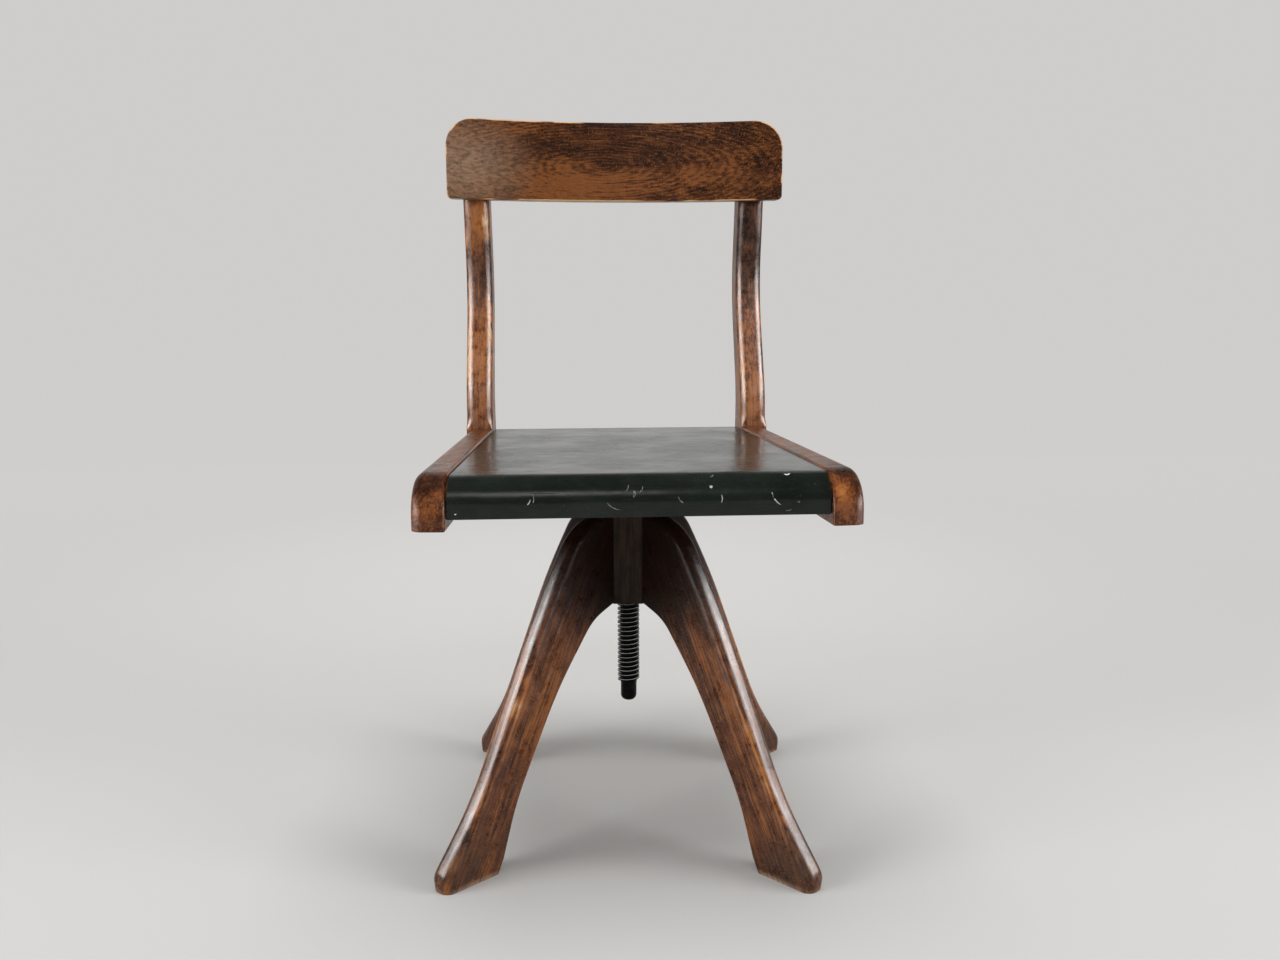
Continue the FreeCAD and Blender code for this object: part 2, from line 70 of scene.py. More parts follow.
# Seat frame
seat_depth = 0.384
seat_front_width = 0.421
seat_rear_width = 0.371
rail_width = 0.032
rail_front_radius = 0.038
rail_outer_round = 0.011
rail_inner_round = 0.003
seat_front = axis_y - seat_depth / 2
rail_taper = math.atan((seat_front_width - seat_rear_width) / 2 / seat_depth)
rail_length = seat_depth / math.cos(rail_taper)
cover_gap = 0.0015
cover_thickness = 0.003
cover_nose_radius = 0.025
cover_edge_round = 0.0006

# Back posts: corners of the front line as shares of the sweep and of the height over the
# rail, and the share of the foot's extra depth that is lost there
post_corners = [(0.093, 0.122, 0.3), (1.074, 0.478, 1.0), (0.918, 0.767, 1.0), (0.905, 1.0, 1.0)]
post_sweep = 0.0475
post_foot_depth = 0.038
post_head_depth = 0.030
post_round = 0.010
post_square_height = 0.001
post_round_run = 0.014
post_splay = 0.88
notch_gap = 0.0001

# Crest rail
crest_thickness = 0.020
crest_front_radius = 0.535
crest_top_corner = 0.034
crest_bottom_corner = 0.005
crest_edge_round = 0.0022
crest_slices = 48
crest_axis_y = crest_high.y - crest_front_radius - crest_thickness

# Nicks in the covering's front: place across, height over its lower edge, length, width
# and slant in degrees
cover_nicks = [
    (-0.169, 0.005, 0.002, 0.0012, 0),
    (-0.102, 0.015, 0.006, 0.0009, 60),
    (-0.098, 0.019, 0.009, 0.0008, 95),
    (-0.026, 0.009, 0.014, 0.0005, -30),
    (-0.012, 0.026, 0.007, 0.0009, 65),
    (-0.006, 0.021, 0.006, 0.0022, 80),
    (0.001, 0.025, 0.006, 0.0008, 60),
    (0.036, 0.015, 0.008, 0.0010, -50),
    (0.065, 0.0265, 0.003, 0.0026, 0),
    (0.067, 0.035, 0.004, 0.0007, 20),
    (0.075, 0.016, 0.008, 0.0006, 90),
    (0.124, 0.0145, 0.015, 0.0012, -55),
    (0.138, 0.0355, 0.006, 0.0009, 5),
    (0.137, 0.004, 0.006, 0.0010, 10),
    (0.1465, 0.012, 0.002, 0.0015, 0),
]
nick_sides = 12
nick_bend = 0.12
nick_lift = (0.00006, 0.00004)
nick_top_gap = 0.0002

# Spindle, with the thread's profile as shares of the pitch and of the depth, and where a painted glint
# lies on it
thread_pitch = 0.005
thread_depth = 0.0028
thread_radius = 0.012
thread_profile = [
    (0.0, 0.0, 0.0), (0.17, 0.0, 0.0), (0.33, 1.0, 0.0), (0.67, 1.0, 1.0), (0.83, 0.0, 0.0),
]
thread_over_hub = 0.0005
core_inset = 0.0003
tip_length = 0.019
tip_radius = 0.0087
tip_round = 0.006
neck_radius = 0.010
rivet_radius = 0.015
rivet_height = 0.005

# Screws
screw_head_radius = 0.0048
screw_head_height = 0.0032
screw_head_rim = 0.0002
screw_shank_radius = 0.0025
screw_slot_width = 0.0012
screw_slot_depth = 0.0011
end_band = 0.0002

# Strengths of the even light all round: lighting, mirrored and seen
even_world = 0.24
mirrored_world = 0.1
seen_world = 0.62

small_round = 0.0012
arc_share = 0.45
sharp_angle = 40
side_words = {1: "right", -1: "left"}


# Mesh tools


def rounded_path(corners, steps=12):
    """Points from the first corner to the last, where arcs round the corners between."""
    points = [corners[0]]
    for before, corner, after in zip(corners, corners[1:], corners[2:]):
        back = (before - corner).normalized()
        ahead = (after - corner).normalized()
        reach = arc_share * min((before - corner).length, (after - corner).length)
        half_angle = back.angle(ahead) / 2
        centre = corner + (back + ahead).normalized() * reach / math.cos(half_angle)
        radius = reach * math.tan(half_angle)
        start = corner + back * reach - centre
        end = corner + ahead * reach - centre
        points += [centre + start.slerp(end, i / steps) * radius for i in range(steps + 1)]
    return points + [corners[-1]]


def quarter(centre, radius, start, end, steps=12):
    """Points of an arc between two directions in degrees."""
    turns = [math.radians(start + (end - start) * i / steps) for i in range(steps + 1)]
    return [centre + Vector((math.cos(turn), math.sin(turn))) * radius for turn in turns]


def rounding(radius, depth):
    """How far a rounded edge has drawn in at a depth below the face it leads to."""
    return radius - math.sqrt(radius ** 2 - max(0.0, radius - depth) ** 2)


def edge_share(radius, depth):
    """1 half way round a rounded edge, 0 on the flats beside it."""
    if depth >= radius:
        return 0.0
    return math.sin(2 * math.asin(1 - depth / radius))


def drawn_in(points, insets):
    """A closed outline after each of its edges has moved inward by its own inset."""
    moved = []
    for i, point in enumerate(points):
        before = (point - points[i - 1]).normalized()
        after = (points[(i + 1) % len(points)] - point).normalized()
        first = Vector((-before.y, before.x))
        second = Vector((-after.y, after.x))
        near, far = insets[i - 1], insets[i]
        bend = first.x * second.y - first.y * second.x
        if abs(bend) < 0.1:
            moved.append(point + (first + second).normalized() * (near + far) / 2)
        else:
            shift = Vector((near * second.y - far * first.y, far * first.x - near * second.x))
            moved.append(point + shift / bend)
    return moved


def plank(outline, thickness, near, far, steps=8):
    """A mesh between y = 0 and y = thickness whose outline is drawn in x and z, anticlockwise.
    near and far are the radii of each outline edge's rounding at the two faces."""
    bm = bmesh.new()
    edge_layer = bm.verts.layers.float.new("edge")
    shares = [1 - math.sin(math.pi / 2 * (1 - i / steps)) for i in range(steps + 1)]
    depths = [max(near) * share for share in shares]
    depths += [thickness - max(far) * share for share in reversed(shares)]
    rings = []
    for depth in depths:
        insets = [max(rounding(a, depth), rounding(b, thickness - depth)) for a, b in zip(near, far)]
        ring = []
        for i, point in enumerate(drawn_in(outline, insets)):
            vertex = bm.verts.new((point.x, depth, point.y))
            vertex[edge_layer] = max(edge_share(max(near[i - 1], near[i]), depth),
                                     edge_share(max(far[i - 1], far[i]), thickness - depth))
            ring.append(vertex)
        rings.append(ring)
    for ring, following in zip(rings, rings[1:]):
        for i in range(len(ring)):
            bm.faces.new((ring[i - 1], ring[i], following[i], following[i - 1]))
    bm.faces.new(rings[0])
    bm.faces.new(rings[-1])
    return bm


def piece(name, bm, body, *nodes):
    """An object from a mesh, which rides on a body and stands for CAD nodes."""
    bmesh.ops.recalc_face_normals(bm, faces=bm.faces)
    mesh = bpy.data.meshes.new(name)
    bm.to_mesh(mesh)
    bm.free()
    mesh.polygons.foreach_set("use_smooth", [True] * len(mesh.polygons))
    mesh.set_sharp_from_angle(angle=math.radians(sharp_angle))
    made = bpy.data.objects.new(name, mesh)
    bpy.context.scene.collection.objects.link(made)
    weighted = made.modifiers.new("weighted", "WEIGHTED_NORMAL")
    weighted.keep_sharp = True
    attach(made, body)
    if nodes:
        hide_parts(*nodes)
    return made


def cut(bm, tool):
    """A mesh with another one taken away from it."""
    objects = []
    for part in (bm, tool):
        bmesh.ops.recalc_face_normals(part, faces=part.faces)
        mesh = bpy.data.meshes.new("cut")
        part.to_mesh(mesh)
        part.free()
        made = bpy.data.objects.new("cut", mesh)
        bpy.context.scene.collection.objects.link(made)
        objects.append(made)
    boolean = objects[0].modifiers.new("cut", "BOOLEAN")
    boolean.object = objects[1]
    graph = bpy.context.evaluated_depsgraph_get()
    result = bmesh.new()
    result.from_object(objects[0], graph)
    for made in objects:
        bpy.data.objects.remove(made)
    return result


def spun(sections, sides=48):
    """A mesh turned round the Z axis from pairs of radius and height, closed at both ends."""
    bm = bmesh.new()
    rings = []
    for radius, z in sections:
        turns = [2 * math.pi * i / sides for i in range(sides)]
        rings.append([bm.verts.new((radius * math.cos(t), radius * math.sin(t), z)) for t in turns])
    for ring, following in zip(rings, rings[1:]):
        for i in range(sides):
            bm.faces.new((ring[i - 1], ring[i], following[i], following[i - 1]))
    bm.faces.new(rings[0])
    bm.faces.new(rings[-1])
    return bm


def block(low, high):
    """A box-shaped mesh between two corners."""
    bm = bmesh.new()
    bmesh.ops.create_cube(bm, size=1)
    low, high = Vector(low), Vector(high)
    place = Matrix.Translation((low + high) / 2) @ Matrix.Diagonal(high - low).to_4x4()
    bm.transform(place)
    return bm


def on_side(bm, side):
    """Place a mesh drawn along a straight side rail onto the right (1) or left (-1) side."""
    bm.transform(Matrix.Rotation(math.pi / 2 + rail_taper, 4, "Z"))
    bm.transform(Matrix.Translation((seat_front_width / 2, seat_front, 0)))
    bm.transform(Matrix.Diagonal((side, 1, 1, 1)))
    return bm


def edge_radii(outline, radius_at):
    """The radius for each of an outline's edges, from its middle."""
    following = outline[1:] + outline[:1]
    return [radius_at((start + end) / 2) for start, end in zip(outline, following)]


# Pieces


def make_leg(name):
    """A leg of which the outer edges are well rounded and the inner ones just eased."""
    head = Vector((leg_root, hub_high.z))
    root = Vector((leg_root, hub_low.z))
    outer = [Vector((reach * leg_reach, rise * hub_high.z)) for reach, rise in leg_outer_corners]
    inner = [Vector((reach * leg_reach, rise * hub_low.z)) for reach, rise in leg_inner_corners]
    outer_line = rounded_path([head] + outer)
    inner_line = [Vector((leg_heel, 0))] + rounded_path([Vector(leg_heel_top)] + inner + [root])
    outline = list(reversed(outer_line)) + list(reversed(inner_line))
    radii = [leg_outer_round] * (len(outer_line) - 1) + [0.0]
    radii += [leg_inner_round] * (len(inner_line) - 1) + [0.0]
    bm = plank(outline, leg_thickness, radii, radii)
    bm.transform(Matrix.Translation((0, -leg_thickness / 2, 0)))
    bm.transform(Matrix.Rotation(math.radians(leg_turns[name]), 4, "Z"))
    bm.transform(Matrix.Translation((0, axis_y, 0)))
    return piece(name + "_wood", bm, "base", name)


def make_side_rail(side, name):
    """A side rail with its scrolled front end."""
    low, high = rail_low.z, rail_high.z
    centre = Vector((rail_front_radius, high - rail_front_radius))
    nose = quarter(centre, rail_front_radius, 90, 180)
    outline = [Vector((0, low)), Vector((rail_length, low)), Vector((rail_length, high))] + nose
    crown = range(2, len(outline))
    outer = [rail_outer_round if i in crown else small_round for i in range(len(outline))]
    inner = [rail_inner_round if i in crown else small_round for i in range(len(outline))]
    outer[1] = inner[1] = 0.0
    bm = plank(outline, rail_width, outer, inner)
    return piece(name + "_wood", on_side(bm, side), "seat", name)


def post_line(rearward):
    """A post's front (0) or rear (1) line over the rail, along the rail and upward."""
    height = post_high.z - rail_high.z
    points = [Vector((rail_length + rearward * post_foot_depth, rail_high.z))]
    for sweep, rise, lost in post_corners:
        depth = post_foot_depth - lost * (post_foot_depth - post_head_depth)
        back = sweep * post_sweep + rearward * depth
        points.append(Vector((rail_length + back, rail_high.z + rise * height)))
    return rounded_path(points, 20)


def with_extra_heights(points, heights):
    """A rising line with points added at the given heights."""
    result = list(points)
    for height in heights:
        for i, (below, above) in enumerate(zip(result, result[1:])):
            if below.y < height - 1e-5 and height + 1e-5 < above.y:
                result.insert(i + 1, below.lerp(above, (height - below.y) / (above.y - below.y)))
                break
    return result


def make_post(side, name):
    """A back post whose front corners are rounded from above the rail up to its head."""
    round_start = rail_high.z + post_square_height
    run_heights = [round_start + post_round_run * i / 6 for i in range(7)]
    front = with_extra_heights(post_line(0), run_heights)
    rear = post_line(1)
    foot_front, foot_rear = Vector((rail_length, rail_low.z)), Vector((rear[0].x, rail_low.z))
    outline = [foot_front, foot_rear] + rear + list(reversed(front))
    front_start = 2 + len(rear)

    def corner_radius(point):
        share = min(1.0, max(0.0, (point.y - round_start) / post_round_run))
        return small_round + (post_round - small_round) * math.sin(share * math.pi / 2)

    radii = edge_radii(outline, corner_radius)
    radii[:front_start] = [small_round] * front_start
    bm = plank(outline, rail_width, radii, radii)
    foot = Vector((0, rail_length, rail_low.z))
    tilt = Matrix.Translation(foot) @ Matrix.Rotation(math.radians(post_splay), 4, "Y")
    turn = Matrix.Rotation(math.pi / 2, 4, "Z")
    bm.transform(turn.inverted() @ tilt @ Matrix.Translation(-foot) @ turn)
    on_side(bm, side)
    notch_radius = crest_front_radius + crest_thickness + notch_gap
    notch = spun([(notch_radius, crest_low.z - notch_gap), (notch_radius, post_high.z + 0.01)], 360)
    notch.transform(Matrix.Translation((0, crest_axis_y, 0)))
    return piece(name + "_wood", cut(bm, notch), "seat", name)


def make_crest():
    """A bowed board with large round top corners and eased edges."""
    half = crest_high.x
    low, high = crest_low.z, crest_high.z
    outline = []
    for x, z, radius, start in [
        (half, low, crest_bottom_corner, -90), (half, high, crest_top_corner, 0),
        (-half, high, crest_top_corner, 90), (-half, low, crest_bottom_corner, 180),
    ]:
        centre = Vector((x - math.copysign(radius, x), z + (radius if z == low else -radius)))
        outline += quarter(centre, radius, start, start + 90)
    radii = [crest_edge_round] * len(outline)
    bm = plank(outline, crest_thickness, radii, radii)
    for i in range(1, crest_slices):
        x = half * (2 * i / crest_slices - 1)
        everything = bm.verts[:] + bm.edges[:] + bm.faces[:]
        bmesh.ops.bisect_plane(bm, geom=everything, dist=1e-6, plane_co=(x, 0, 0), plane_no=(1, 0, 0))
    for vertex in bm.verts:
        radius = crest_front_radius + vertex.co.y
        vertex.co.y = crest_axis_y + math.sqrt(radius ** 2 - vertex.co.x ** 2)
    return piece("crest_rail_wood", bm, "seat", "crest_rail")


def inner_half_width(y):
    """Half the space between the side rails at a place along the seat."""
    outer = seat_front_width / 2 - (y - seat_front) * math.tan(rail_taper)
    return outer - rail_width / math.cos(rail_taper)


def make_cover():
    """The covering sheet, rolled over the front rail's nose and down its face."""
    front, rear, top = cover_low.y, cover_high.y, cover_high.z
    centre = Vector((front + cover_nose_radius, top - cover_nose_radius))
    outer = quarter(centre, cover_nose_radius, 180, 90, 16)
    inner = quarter(centre, cover_nose_radius - cover_thickness, 90, 180, 16)
    ends = [Vector((rear, top)), Vector((rear, top - cover_thickness))]
    lower_ends = [Vector((front + cover_thickness, cover_low.z)), Vector((front, cover_low.z))]
    outline = list(reversed(outer + ends + inner + lower_ends))
    radii = [cover_edge_round] * len(outline)
    bm = plank(outline, 1.0, radii, radii, 4)
    for vertex in bm.verts:
        along, across = vertex.co.x, vertex.co.y
        vertex.co.x = (2 * across - 1) * (inner_half_width(along) - cover_gap)
        vertex.co.y = along
    return piece("seat_cover_sheet", bm, "seat", "seat_cover")


def nose_y(z):
    """How far forward the covering's surface lies at a height on its rolled front."""
    rise = max(0.0, z - (cover_high.z - cover_nose_radius))
    return cover_low.y + cover_nose_radius - math.sqrt(cover_nose_radius ** 2 - rise ** 2)


def make_nicks():
    """Pale nicks that lie just in front of the covering's rolled front."""
    bm = bmesh.new()
    forward, upward = nick_lift
    for x, height, length, width, slant in cover_nicks:
        along = Vector((math.cos(math.radians(slant)), math.sin(math.radians(slant))))
        across = Vector((-along.y, along.x))
        corners = []
        for i in range(nick_sides):
            turn = math.radians(360 / nick_sides * i)
            bend = nick_bend * length * math.cos(turn) ** 2
            point = along * math.cos(turn) * length / 2 + across * (math.sin(turn) * width / 2 + bend)
            z = min(cover_low.z + height + point.y, cover_high.z - nick_top_gap)
            corners.append(bm.verts.new((x + point.x, nose_y(z) - forward, z + upward)))
        bm.faces.new(corners)
    return piece("seat_cover_nicks", bm, "seat")


def make_spindle():
    """A steel spindle with a right-hand trapezoidal thread, a rounded tip and a riveted neck."""
    thread_low = spindle_low.z + tip_length
    thread_high = hub_high.z + thread_over_hub
    core = thread_radius - thread_depth
    per_turn = 40
    steps = int((thread_high - thread_low - thread_pitch) / thread_pitch * per_turn)
    tip = quarter(Vector((tip_radius - tip_round, tip_round)), tip_round, -90, 0, 6)
    core_low = thread_low + thread_pitch
    neck_low = thread_high - 1.5 * thread_pitch
    plate = spindle_high.z - rivet_height
    sections = [(point.x, spindle_low.z + point.y) for point in tip]
    sections += [(tip_radius, core_low), (core - core_inset, core_low), (core - core_inset, neck_low)]
    sections += [(neck_radius, neck_low), (neck_radius, plate)]
    sections += [(rivet_radius, plate), (rivet_radius, plate + 0.6 * rivet_height)]
    sections += [(0.6 * rivet_radius, plate + rivet_height)]
    bm = spun(sections)
    edge_layer = bm.verts.layers.float.new("edge")
    rows = []
    for step in range(steps + 1):
        turn = 2 * math.pi * step / per_turn
        run_out = min(1.0, step / per_turn * 2, (steps - step) / per_turn * 2)
        row = []
        for share, height, edge in thread_profile:
            radius = core + height * run_out * thread_depth
            z = thread_low + (step / per_turn + share) * thread_pitch
            vertex = bm.verts.new((radius * math.cos(turn), radius * math.sin(turn), z))
            # The edge value marks the upper crest corner, where the steel gets a painted glint
            vertex[edge_layer] = edge
            row.append(vertex)
        rows.append(row)
    for step, (row, following) in enumerate(zip(rows, rows[1:])):
        for i in range(len(thread_profile) - 1):
            bm.faces.new((row[i], following[i], following[i + 1], row[i + 1]))
        if step + 1 + per_turn < len(rows):
            above, above_next = rows[step + per_turn], rows[step + 1 + per_turn]
            bm.faces.new((row[-1], following[-1], above_next[0], above[0]))
    bm.transform(Matrix.Translation((0, axis_y, 0)))
    return piece("spindle_steel", bm, "seat", "spindle")


def islands(node):
    """The vertex positions of each separate solid in a CAD node."""
    bm = bmesh.new()
    bm.from_mesh(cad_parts[node].data)
    bmesh.ops.remove_doubles(bm, verts=bm.verts, dist=1e-6)
    left = set(bm.verts)
    groups = []
    while left:
        reached = [left.pop()]
        for vertex in reached:
            for edge in vertex.link_edges:
                other = edge.other_vert(vertex)
                if other in left:
                    left.remove(other)
                    reached.append(other)
        groups.append([vertex.co.copy() for vertex in reached])
    bm.free()
    return groups


def screw_mesh(length, round_head):
    """A slotted screw that points down from its head's seat or flush top at z = 0."""
    head, shank = screw_head_radius, screw_shank_radius
    sections = [(0.1 * shank, -length), (shank, -length + 2 * shank)]
    if round_head:
        dome = quarter(Vector((0, 0)), 1.0, 0, 80, 8)
        top = screw_head_height
        sections += [(shank, 0)] + [(head * point.x, top * point.y) for point in dome]
    else:
        top = 0.0
        sections += [(shank, shank - head), (head, -screw_head_rim), (head, 0)]
    slot_low = (-2 * head, -screw_slot_width / 2, top - screw_slot_depth)
    slot = block(slot_low, (2 * head, screw_slot_width / 2, top + 0.01))
    return cut(spun(sections, 24), slot)


def make_screws(node, body, direction, round_head):
    """The screws of a CAD node, each on its solid's axis and with its slot at another turn."""
    direction = Vector(direction)
    joined = bmesh.new()
    for i, points in enumerate(islands(node)):
        heights = [point.dot(direction) for point in points]
        tip_height, head_height = max(heights), min(heights)
        tips = [p for p, height in zip(points, heights) if height > tip_height - end_band]
        heads = [p for p, height in zip(points, heights) if height < head_height + end_band]
        tip = sum(tips, Vector()) / len(tips)
        head = sum(heads, Vector()) / len(heads)
        axis = (tip - head).normalized()
        length = (tip - head).length
        seat = head
        if round_head:
            length -= screw_head_height
            seat = head + axis * screw_head_height
        bm = screw_mesh(length, round_head)
        bm.transform(Matrix.Rotation(math.radians(50 * i + 15), 4, "Z"))
        bm.transform(Matrix.Translation(seat) @ axis.to_track_quat("-Z", "Y").to_matrix().to_4x4())
        mesh = bpy.data.meshes.new("screw")
        bm.to_mesh(mesh)
        bm.free()
        joined.from_mesh(mesh)
        bpy.data.meshes.remove(mesh)
    return piece(node + "_steel", joined, body, node)


# Materials


def colour(red, green, blue):
    """A colour in the renderer's linear scale."""
    channels = []
    for value in (red / 255, green / 255, blue / 255):
        channels.append(value / 12.92 if value <= 0.04045 else ((value + 0.055) / 1.055) ** 2.4)
    return (*channels, 1.0)


class Finish:
    """A material under construction: add() makes nodes, and close() joins them to the surface."""

    def __init__(self, name):
        self.material = bpy.data.materials.new(name)
        self.material.use_nodes = True
        self.nodes = self.material.node_tree.nodes
        self.links = self.material.node_tree.links
        self.surface = self.nodes["Principled BSDF"]

    def add(self, kind, inputs, output=0, **settings):
        """A node's output, where an input is a number, a tuple or another node's output."""
        node = self.nodes.new("ShaderNode" + kind)
        for key, value in settings.items():
            setattr(node, key, value)
        for key, value in inputs.items():
            self.join(node.inputs[key], value)
        return node.outputs[output]

    def join(self, socket, value):
        """Set a socket to a value, or link it to another node's output."""
        if isinstance(value, bpy.types.NodeSocket):
            self.links.new(value, socket)
        else:
            socket.default_value = value

    def close(self, **inputs):
        """The finished material, after the surface's inputs are joined."""
        for key, value in inputs.items():
            self.join(self.surface.inputs[key.replace("_", " ")], value)
        return self.material

    def place(self):
        """The place on the object."""
        return self.add("TexCoord", {}, output="Object")

    def edge(self):
        """1 on a piece's rounded edges, 0 on its flats; on the spindle's thread it marks the line of a
        painted glint.
        """
        return self.add("Attribute", {}, output="Fac", attribute_name="edge")

    def math(self, operation, first, second=0.0):
        return self.add("Math", {0: first, 1: second}, operation=operation)

    def weigh(self, *parts):
        """The sum of values, each with its weight."""
        total = None
        for value, weight in parts:
            share = value if weight == 1.0 else self.math("MULTIPLY", value, weight)
            total = share if total is None else self.math("ADD", total, share)
        return total

    def noise(self, vector, scale, detail=4.0, roughness=0.6):
        inputs = {"Vector": vector, "Scale": scale, "Detail": detail, "Roughness": roughness}
        return self.add("TexNoise", inputs)

    def stretch(self, vector, scale):
        return self.add("Mapping", {"Vector": vector, "Scale": scale})

    def along(self, vector, direction, place=(0, 0, 0)):
        """Coordinates whose first axis runs along a direction through a place."""
        rotation = Vector(direction).to_track_quat("X", "Z").to_euler()
        inputs = {"Vector": vector, "Location": place, "Rotation": rotation}
        return self.add("Mapping", inputs, vector_type="TEXTURE")

    def bump(self, height, strength, distance, under=None):
        """A normal that follows a height, over another normal."""
        inputs = {"Strength": strength, "Distance": distance, "Height": height}
        if under is not None:
            inputs["Normal"] = under
        return self.add("Bump", inputs)

    def ramp(self, value, low, high, to_low=0.0, to_high=1.0):
        """A value brought smoothly from one range to another."""
        inputs = {
            "Value": value, "From Min": low, "From Max": high, "To Min": to_low, "To Max": to_high,
        }
        return self.add("MapRange", inputs, interpolation_type="SMOOTHSTEP")

    def blend(self, share, first, second):
        return self.add("Mix", {0: share, 6: first, 7: second}, output=2, data_type="RGBA")

    def patch(self, position, centre, radii):
        """1 at a centre, falling smoothly to 0 at the radii along x, y and z."""
        away = self.add("VectorMath", {0: position, 1: centre}, operation="SUBTRACT")
        away = self.add("VectorMath", {0: away, 1: radii}, operation="DIVIDE")
        share = self.add("VectorMath", {0: away}, output=1, operation="LENGTH")
        return self.ramp(share, 0.0, 1.0, 1.0, 0.0)

    def patches(self, position, places):
        """The sum of patches, each a centre, its radii and its strength."""
        parts = []
        for centre, radii, strength in places:
            parts.append((self.patch(position, centre, radii), strength))
        return self.weigh(*parts)


dark_brown = colour(36, 19, 12)
red_brown = colour(88, 46, 22)
warm_brown = colour(142, 84, 38)
orange = colour(172, 108, 52)
pale_wood = colour(212, 178, 134)
# Grey of faded varnish, also used for a painted sheen on the crest's left end
greyed_and_sheen = colour(158, 128, 104)
# Black of pores, hairlines and darkened varnish, and of the painted shade by the hub
old_black_and_shade = colour(22, 13, 10)


def ring_figure(finish, position, centre, stretched):
    """Growth rings round a centre, from -0.5 to 0.5."""
    inputs = {"Vector": position, "Location": centre, "Scale": stretched}
    local = finish.add("Mapping", inputs, vector_type="TEXTURE")
    inputs = {"Vector": local, "Scale": 4.2, "Distortion": 5.0, "Detail": 4.0, "Detail Scale": 1.2}
    figure = finish.add("TexWave", inputs, output=1, wave_type="RINGS", rings_direction="Y")
    return finish.math("SUBTRACT", figure, 0.5)


def grain_colour(finish, grained, tone, tones, pores):
    """Three tones of wood with hairlines, pores and slanting scratches over them."""
    low = finish.ramp(tone, 0.42, 0.5)
    high = finish.ramp(tone, 0.49, 0.58)
    body = finish.blend(high, finish.blend(low, tones[0], tones[1]), tones[2])
    hairlines = finish.noise(finish.stretch(grained, (28, 1200, 1200)), 1.0, 4.0, 0.75)
    body = finish.blend(finish.ramp(hairlines, 0.5, 0.66, 0.0, 0.45), body, tones[2])
    body = finish.blend(finish.ramp(hairlines, 0.34, 0.5, 0.6, 0.0), body, old_black_and_shade)
    body = finish.blend(finish.ramp(pores, 0.58, 0.72, 0.0, 0.25), body, old_black_and_shade)
    crossing = finish.add("Mapping", {"Vector": grained, "Rotation": (0.4, 0.5, 0.7)})
    scratches = finish.noise(finish.stretch(crossing, (60, 1300, 500)), 1.0, 2.0)
    return finish.blend(finish.ramp(scratches, 0.6, 0.68, 0.0, 0.45), body, orange)


def wood(name, place, direction, worn, dark, faded_and_sheen=(), tones=(dark_brown, red_brown, warm_brown),
         edge_wear=1.0, mottling=0.2, rings=None):
    """Varnished wood whose grain runs along a direction through a place. worn, dark and faded
    are patches where the varnish is rubbed, where it has darkened (on the legs round the hub
    also painted shade under the seat) and where it has gone grey (on the crest also a painted
    sheen). mottling is the blotches' share of the tone. rings are the growth rings' centre,
    stretch and strength."""
    finish = Finish(name)
    position = finish.place()
    grained = finish.along(position, direction, place)
    clouds = finish.noise(finish.stretch(grained, (9, 35, 35)), 1.0, 3.0)
    streaks = finish.noise(finish.stretch(grained, (13, 380, 380)), 1.0, 6.0, 0.75)
    pores = finish.noise(finish.stretch(grained, (70, 1100, 1100)), 1.0, 2.0)
    blotches = finish.noise(position, 70.0, 6.0, 0.7)
    worn = finish.patches(position, worn)
    dark = finish.patches(position, dark)

    tone = finish.weigh((clouds, 0.5 - mottling), (streaks, 0.5), (blotches, mottling))
    if rings:
        centre, stretched, strength = rings
        tone = finish.weigh((tone, 1.0), (ring_figure(finish, position, centre, stretched), strength))
    tone = finish.weigh((tone, 1.0), (worn, 0.1), (dark, -0.12))
    body = grain_colour(finish, grained, tone, tones, pores)
    if faded_and_sheen:
        # Faded patches go towards grey: greyed varnish, dust at the soles, and at the crest's left end
        # a painted sheen as well
        share = finish.patches(position, faded_and_sheen)
        share = finish.math("MULTIPLY", share, finish.ramp(streaks, 0.35, 0.6, 0.4, 1.0))
        body = finish.blend(share, body, greyed_and_sheen)

    edge = finish.math("MULTIPLY", finish.edge(), finish.ramp(clouds, 0.4, 0.6, 0.04, 0.4))
    rubbed = finish.weigh((edge, edge_wear), (streaks, 0.75), (blotches, 0.35), (worn, 0.3),
                          (dark, -0.3))
    body = finish.blend(finish.ramp(rubbed, 0.76, 1.0, 0.0, 0.8), body, orange)
    body = finish.blend(finish.ramp(rubbed, 0.95, 1.15, 0.0, 0.8), body, pale_wood)
    # Dark patches go towards black: darkened varnish, and on the legs round the hub painted shade
    # under the seat
    body = finish.blend(finish.ramp(dark, 0.0, 1.0, 0.0, 0.85), body, old_black_and_shade)

    gloss = finish.ramp(blotches, 0.35, 0.65, 0.26, 0.42)
    gloss = finish.math("ADD", gloss, finish.ramp(rubbed, 0.9, 1.2, 0.0, 0.2))
    specular = finish.ramp(dark, 0.0, 1.0, 0.3, 0.08)
    normal = finish.bump(finish.weigh((streaks, 0.6), (pores, -0.3), (blotches, 0.5)), 0.35, 0.0006)
    return finish.close(Base_Color=body, Roughness=gloss, Specular_IOR_Level=specular, Normal=normal)


def plain_wood(name, direction, tones=(colour(112, 78, 50), colour(164, 124, 84))):
    """Wood without varnish, greyed and dusty."""
    finish = Finish(name)
    position = finish.place()
    grained = finish.along(position, direction)
    streaks = finish.noise(finish.stretch(grained, (12, 240, 240)), 1.0, 6.0, 0.7)
    stains = finish.noise(position, 22.0, 5.0)
    body = finish.blend(finish.ramp(streaks, 0.36, 0.64), *tones)
    body = finish.blend(finish.ramp(stains, 0.5, 0.75, 0.0, 0.7), body, colour(74, 50, 34))
    gloss = finish.ramp(stains, 0.3, 0.7, 0.6, 0.8)
    normal = finish.bump(streaks, 0.4, 0.0005, finish.add("Bevel", {"Radius": 0.0006}))
    return finish.close(Base_Color=body, Roughness=gloss, Normal=normal)


